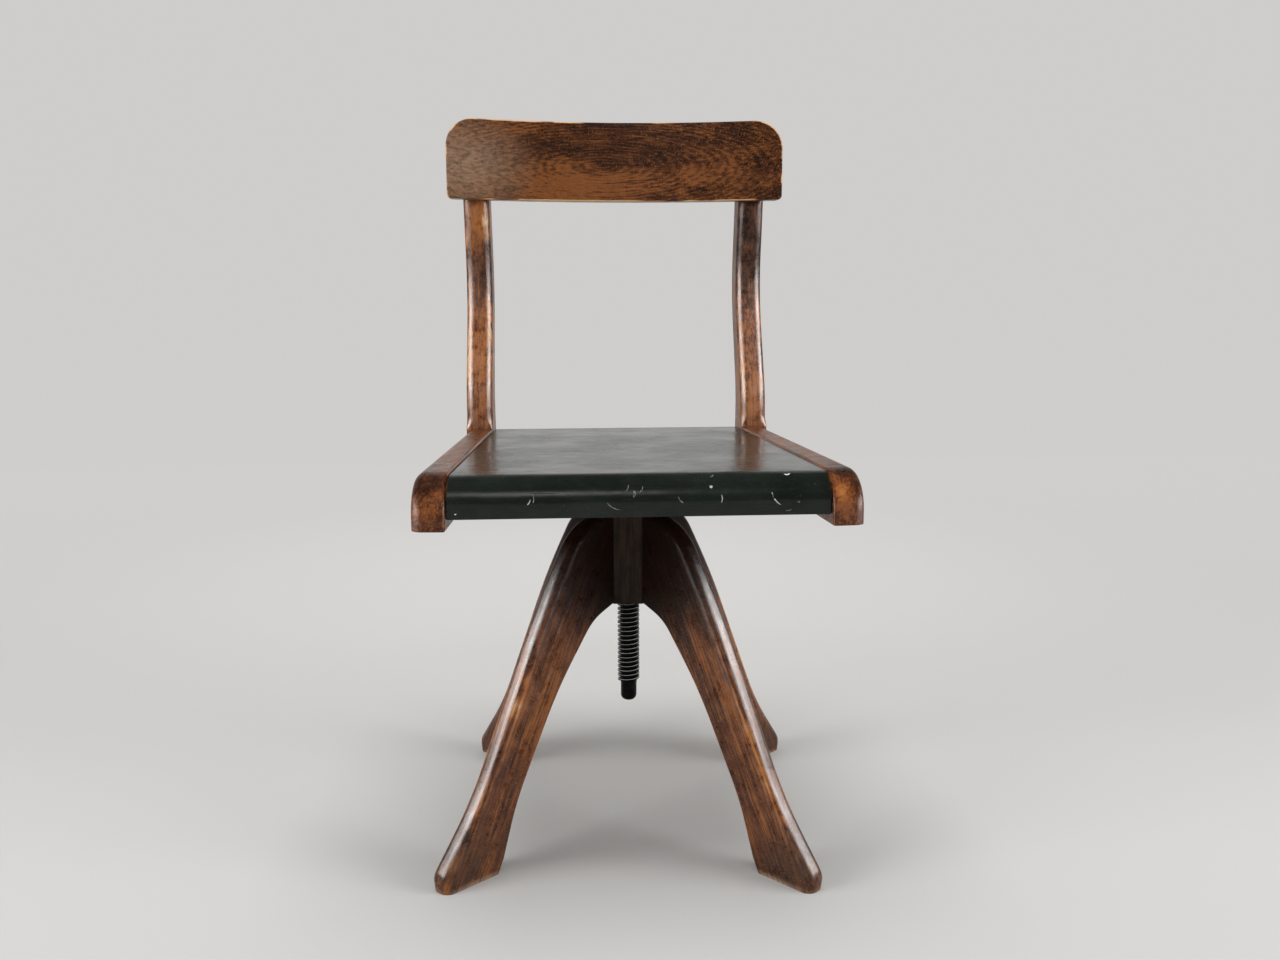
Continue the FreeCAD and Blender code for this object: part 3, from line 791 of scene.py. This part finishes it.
def column_wood():
    """The hub's dull grey-brown, darkened partly as painted shade under the seat, with dark stains."""
    finish = Finish("column_wood")
    position = finish.place()
    streaks = finish.noise(finish.stretch(position, (260, 260, 14)), 1.0, 6.0, 0.7)
    stains = finish.noise(position, 45.0, 5.0)
    # Both tones are dark partly as painted shade under the seat, and partly as the hub's own dark wood
    body = finish.blend(finish.ramp(streaks, 0.35, 0.7), colour(34, 24, 17), colour(62, 46, 33))
    body = finish.blend(finish.ramp(stains, 0.45, 0.75, 0.0, 0.6), body, colour(20, 13, 10))
    gloss = finish.ramp(stains, 0.3, 0.7, 0.45, 0.65)
    normal = finish.bump(streaks, 0.35, 0.0006, finish.add("Bevel", {"Radius": 0.0015}))
    return finish.close(Base_Color=body, Roughness=gloss, Specular_IOR_Level=0.2, Normal=normal)


def linoleum():
    """Dark green linoleum, polished by use, with dents and small pale scratches."""
    finish = Finish("green_linoleum")
    position = finish.place()
    clouds = finish.noise(position, 14.0, 4.0)
    grain = finish.noise(position, 420.0, 3.0)
    body = finish.blend(finish.ramp(clouds, 0.3, 0.7), colour(13, 18, 15), colour(23, 30, 24))
    body = finish.blend(finish.ramp(grain, 0.5, 0.75, 0.0, 0.3), body, colour(44, 52, 42))

    slanted = finish.add("Mapping", {"Vector": position, "Rotation": (0.3, 0.5, 0.9)})
    scratches = finish.noise(finish.stretch(slanted, (900, 60, 260)), 1.0, 3.0)
    few = finish.ramp(finish.noise(position, 26.0, 2.0), 0.58, 0.66)
    scratched = finish.math("MULTIPLY", finish.ramp(scratches, 0.68, 0.72), few)
    body = finish.blend(finish.math("MULTIPLY", scratched, 0.3), body, colour(120, 130, 116))

    lines = finish.noise(finish.stretch(position, (24, 700, 700)), 1.0, 3.0)
    gloss = finish.weigh((finish.ramp(clouds, 0.35, 0.65, 0.2, 0.28), 1.0), (scratched, 0.3),
                         (finish.ramp(lines, 0.6, 0.68), 0.25))
    waves = finish.bump(finish.noise(position, 24.0, 2.0), 0.2, 0.003)
    normal = finish.bump(grain, 0.12, 0.0003, waves)
    return finish.close(Base_Color=body, Roughness=gloss, Normal=normal)


def scuffed_canvas():
    """The pale backing that shows where the linoleum is nicked."""
    finish = Finish("scuffed_canvas")
    position = finish.place()
    fibres = finish.noise(position, 1500.0, 3.0)
    dirt = finish.noise(position, 45.0, 3.0)
    body = finish.blend(finish.ramp(dirt, 0.4, 0.6), colour(84, 98, 82), colour(214, 218, 206))
    body = finish.blend(finish.ramp(fibres, 0.5, 0.7, 0.0, 0.4), body, colour(60, 70, 58))
    gloss = finish.ramp(fibres, 0.3, 0.7, 0.6, 0.8)
    return finish.close(Base_Color=body, Roughness=gloss, Normal=finish.bump(fibres, 0.3, 0.0003))


def metal(name, dark_tone, light_tone, rust, roughness, bevel):
    """Old iron or steel with rust in its hollows, and a painted glint, pale and less metallic, where
    the edge attribute is set, as on the spindle's thread crests.
    """
    finish = Finish(name)
    position = finish.place()
    spots = finish.noise(position, 160.0, 6.0, 0.7)
    clouds = finish.noise(position, 30.0, 4.0)
    edge = finish.edge()
    body = finish.blend(finish.ramp(clouds, 0.3, 0.7), dark_tone, light_tone)
    body = finish.blend(finish.ramp(spots, 0.55, 0.75, 0.0, rust), body, colour(86, 50, 30))
    # Painted glint: pale where the edge attribute is set, the spindle's upper thread crests
    body = finish.blend(finish.ramp(edge, 0.75, 1.0), body, colour(215, 215, 212))
    gloss = finish.ramp(spots, 0.3, 0.75, roughness, roughness + 0.25)
    bright = finish.ramp(spots, 0.5, 0.8, 0.9, 0.5)
    metallic = finish.math("MULTIPLY", bright, finish.ramp(edge, 0.7, 0.9, 1.0, 0.25))
    normal = finish.bump(spots, 0.3, 0.0004, finish.add("Bevel", {"Radius": bevel}))
    return finish.close(Base_Color=body, Metallic=metallic, Roughness=gloss, Normal=normal)


def paint(objects, material):
    """Give objects a material."""
    for made in objects:
        made.data.materials.clear()
        made.data.materials.append(material)


def cad(*names):
    """Some of the frame's own objects."""
    return [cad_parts[name] for name in names]


# Build the pieces

legs = {name: make_leg(name) for name in leg_turns}
rails = {side: make_side_rail(side, "side_rail_" + word) for side, word in side_words.items()}
posts = {side: make_post(side, "back_post_" + word) for side, word in side_words.items()}
crest = make_crest()
cover = make_cover()
spindle = make_spindle()
nicks = make_nicks()
screws = [
    make_screws("crest_screws", "seat", (0, -1, 0), True),
    make_screws("spider_screws", "seat", (0, 0, 1), True),
    make_screws("board_screws", "seat", (0, 0, 1), False),
    make_screws("nut_screws", "base", (0, 0, -1), False),
]

# Paint them

hub_middle = (0.0, axis_y, 0.305)
leg_wear = {"leg_rear_right": 0.5, "leg_rear_left": 0.5, "leg_front_left": 0.5, "leg_front_right": 0.1}

# Patches where the varnish is worn, dark or faded (the crest's faded patch is also a painted sheen):
# the centre, radii and strength of each
rail_worn = {
    1: [((0.187, seat_front, 0.393), (0.018, 0.04, 0.024), 1.3)],
    -1: [((-0.195, seat_front, 0.383), (0.02, 0.05, 0.015), 0.8)],
}
rail_dark = {
    1: [((0.2, seat_front + 0.03, 0.41), (0.03, 0.06, 0.02), 0.5)],
    -1: [((-0.2, seat_front + 0.02, 0.407), (0.04, 0.06, 0.02), 0.5)],
}

post_worn = {
    1: [((0.17, 0.16, 0.45), (0.03, 0.1, 0.07), 0.9)],
    -1: [
        ((-0.17, 0.19, 0.665), (0.03, 0.1, 0.05), 1.2),
        ((-0.165, 0.19, 0.49), (0.03, 0.1, 0.12), 0.9),
    ],
}
post_dark = {
    1: [((0.165, 0.19, 0.65), (0.05, 0.1, 0.12), 0.5)],
    -1: [((-0.165, 0.19, 0.6), (0.05, 0.1, 0.06), 0.35)],
}

crest_worn = [
    ((-0.08, 0.18, 0.705), (0.16, 0.2, 0.03), 0.6),
    ((0.14, 0.2, 0.715), (0.08, 0.2, 0.03), 0.5),
]
crest_dark = [
    ((0.01, 0.2, 0.76), (0.15, 0.2, 0.045), 0.3),
    ((0.17, 0.2, 0.75), (0.08, 0.2, 0.07), 0.3),
]
# The crest's left end: grey patina with a painted sheen over it
crest_faded_and_sheen = [((-0.19, 0.2, 0.73), (0.11, 0.2, 0.08), 0.85)]

rail_tones = (colour(34, 17, 11), colour(74, 38, 20), colour(128, 72, 34))
crest_tones = (colour(30, 16, 10), colour(74, 40, 21), colour(124, 74, 38))
crest_rings = ((-0.016, 0.2, 0.732), (0.16, 1.0, 0.045), 0.058)


def leg_varnish(name):
    """Varnish that is rubbed at the shin and gone at the sole, and darker by the hub, where it is both
    darker varnish and painted shade under the seat.
    """
    turn = math.radians(leg_turns[name])

    def place(reach, height):
        return (reach * math.cos(turn), axis_y + reach * math.sin(turn), height)

    outward, upward = leg_grain
    direction = (outward * math.cos(turn), outward * math.sin(turn), upward)
    toe, sole, shin = place(0.245, 0.03), place(0.225, 0.0), place(0.18, 0.17)
    return wood(
        name + "_varnish", place(0.15, 0.18), direction,
        worn=[(shin, (0.09, 0.09, 0.09), leg_wear[name])],
        # The patch round the hub is painted shade under the seat as well as darker varnish
        dark=[(hub_middle, (0.19, 0.19, 0.16), 1.5), (toe, (0.08, 0.08, 0.07), 0.45)],
        faded_and_sheen=[(sole, (0.06, 0.06, 0.007), 1.2), (toe, (0.06, 0.06, 0.05), 0.12)],
    )


def rail_varnish(side):
    """Mottled varnish whose grain follows the side rail."""
    return wood(
        "rail_varnish_" + side_words[side], (side * 0.195, seat_front + 0.01, 0.395),
        (-side * rail_taper, 1, 0), rail_worn[side], rail_dark[side], tones=rail_tones, edge_wear=0.5,
        mottling=0.38,
    )


def post_varnish(side):
    """Mottled varnish whose grain runs up the post."""
    return wood(
        "post_varnish_" + side_words[side], (side * 0.17, 0.19, 0.6), (0, 0.1, 1), post_worn[side],
        post_dark[side], mottling=0.4,
    )


def crest_varnish():
    """Varnish over a ringed board, grey at one end with a painted sheen there as well, and rubbed
    through on its edges.
    """
    return wood(
        "crest_varnish", (0, 0.2, 0.74), (1, 0, 0), crest_worn, crest_dark, crest_faded_and_sheen, crest_tones,
        edge_wear=2.1, mottling=0.15, rings=crest_rings,
    )


for name, leg in legs.items():
    paint([leg], leg_varnish(name))
for side in side_words:
    paint([rails[side]], rail_varnish(side))
    paint([posts[side]], post_varnish(side))
paint([crest], crest_varnish())
paint(cad("hub"), column_wood())
paint([cover], linoleum())
paint([nicks], scuffed_canvas())

across = plain_wood("plain_wood_across", (1, 0, 0))
upright = plain_wood("plain_wood_upright", (0, 0, 1))
stained = plain_wood("stained_wood_across", (1, 0, 0), (colour(50, 28, 17), colour(104, 64, 36)))
blocks = [f"corner_block_{end}_{word}" for end in ("front", "rear") for word in side_words.values()]
paint(cad("bearer_front", "bearer_rear", "seat_board", "leg_dowels"), across)
paint(cad("front_rail", "rear_rail"), stained)
paint(cad(*blocks), upright)

oiled = metal("oiled_steel", colour(5, 5, 6), colour(14, 14, 15), 0.1, 0.25, 0.0002)
iron = metal("black_iron", colour(22, 21, 20), colour(46, 43, 40), 0.5, 0.45, 0.0008)
dull = metal("dull_screws", colour(70, 66, 60), colour(120, 114, 104), 0.4, 0.4, 0.0002)
paint([spindle], oiled)
paint(cad("spider", "spindle_nut", "stop_washer"), iron)
paint(screws, dull)


# Stage

floor_front = -4.0
floor_half_width = 6.0
backdrop_y = 3.8
backdrop_radius = 1.2
backdrop_height = 4.5
backdrop_colour = colour(206, 205, 203)

lamp_side = 2.4
camera_lens = 32.35
camera_place = (-0.0777, -1.2589, 0.5712)
camera_turn = (math.pi / 2 - 0.157, 0.002, -0.0743)


def make_floor():
    """A pale floor that curves up into a backdrop."""
    bm = bmesh.new()
    centre = Vector((backdrop_y - backdrop_radius, backdrop_radius))
    profile = [Vector((floor_front, 0.0))] + quarter(centre, backdrop_radius, -90, 0, 24)
    profile.append(Vector((backdrop_y, backdrop_height)))
    sides = (-floor_half_width, floor_half_width)
    rows = [[bm.verts.new((x, point.x, point.y)) for x in sides] for point in profile]
    for row, following in zip(rows, rows[1:]):
        bm.faces.new((row[0], row[1], following[1], following[0]))
    mesh = bpy.data.meshes.new("floor")
    bm.to_mesh(mesh)
    bm.free()
    mesh.polygons.foreach_set("use_smooth", [True] * len(mesh.polygons))
    mesh.materials.append(pale_floor())
    floor = bpy.data.objects.new("floor", mesh)
    bpy.context.scene.collection.objects.link(floor)


def pale_floor():
    """Dull grey round the object, and away from it an even tone to the camera."""
    finish = Finish("pale_floor")
    position = finish.place()
    rearward = finish.add("SeparateXYZ", {"Vector": position}, output="Y")
    body = finish.blend(finish.ramp(rearward, 0.2, 2.6), colour(200, 199, 197), colour(240, 239, 237))
    distance = finish.add("VectorMath", {0: position}, output=1, operation="LENGTH")
    seen = finish.add("LightPath", {}, output="Is Camera Ray")
    share = finish.math("MULTIPLY", seen, finish.ramp(distance, 0.8, 2.2))
    body = finish.blend(share, body, colour(0, 0, 0))
    return finish.close(
        Base_Color=body, Roughness=0.9, Specular_IOR_Level=0.1, Emission_Color=backdrop_colour,
        Emission_Strength=share,
    )


def gathered(name, objects):
    """A collection of pieces that a light can be limited to."""
    collection = bpy.data.collections.new(name)
    for made in objects:
        collection.objects.link(made)
    return collection


def soft_light(name, location, target, size, power, lighting=True, mirrored=True, only=None):
    """An area light, wide and high, that faces a target. It can leave out dull surfaces or
    glossy ones, and can be limited to a collection."""
    light = bpy.data.lights.new(name, "AREA")
    light.shape = "RECTANGLE"
    light.size, light.size_y = size
    light.energy = power
    made = bpy.data.objects.new(name, light)
    made.location = location
    made.rotation_euler = (Vector(target) - Vector(location)).to_track_quat("-Z", "Y").to_euler()
    made.visible_diffuse = lighting
    made.visible_glossy = mirrored
    made.light_linking.receiver_collection = only
    bpy.context.scene.collection.objects.link(made)


def make_lights():
    """Soft light from both sides and above, and panels for the varnish to mirror."""
    uprights = gathered("uprights", [*legs.values(), *posts.values()])
    side_rails = gathered("side_rails", rails.values())
    for side in (1, -1):
        x = side * lamp_side
        soft_light("side_light", (x, -1.05, 1.0), (0, 0, 0.45), (1.5, 1.5), 48, mirrored=False)
        soft_light("high_panel", (x, -0.9, 1.45), (0, -0.1, 0.5), (2.6, 1.2), 290, lighting=False,
                   only=uprights)
        soft_light("low_panel", (x, -0.9, 0.6), (0, -0.1, 0.6), (2.4, 0.8), 62, lighting=False,
                   only=side_rails)
    soft_light("front_panel", (-0.15, -2.2, 1.8), (0, 0, 0.4), (0.6, 0.6), 3.5, lighting=False)
    soft_light("top", (0.0, -0.1, 2.6), (0, 0, 0), (1.6, 1.6), 36, mirrored=False)
    soft_light("wall_light", (0.0, 1.6, 2.8), (0, 3.6, 0.9), (2.0, 2.0), 22, mirrored=False)


def make_camera():
    """The photo's camera: 4 degrees to one side, looking 9 degrees down."""
    camera = bpy.data.cameras.new("camera")
    camera.lens = camera_lens
    camera.sensor_width = 36.0
    made = bpy.data.objects.new("camera", camera)
    made.location = camera_place
    made.rotation_euler = camera_turn
    bpy.context.scene.collection.objects.link(made)
    bpy.context.scene.camera = made


def make_world():
    """Even light all round, pale where the camera sees it and dim where it is mirrored."""
    world = bpy.data.worlds.new("studio")
    world.use_nodes = True
    nodes, links = world.node_tree.nodes, world.node_tree.links
    background = nodes["Background"]
    background.inputs["Color"].default_value = (1, 1, 1, 1)
    paths = nodes.new("ShaderNodeLightPath")
    strength = background.inputs["Strength"]
    for output, level in (("Is Camera Ray", seen_world), ("Is Glossy Ray", mirrored_world)):
        step = nodes.new("ShaderNodeMath")
        step.operation = "MULTIPLY_ADD"
        links.new(step.outputs[0], strength)
        links.new(paths.outputs[output], step.inputs[0])
        step.inputs[1].default_value = level - even_world
        strength = step.inputs[2]
    strength.default_value = even_world
    bpy.context.scene.world = world


make_floor()
make_lights()
make_camera()
make_world()
bpy.context.scene.view_settings.view_transform = "Standard"
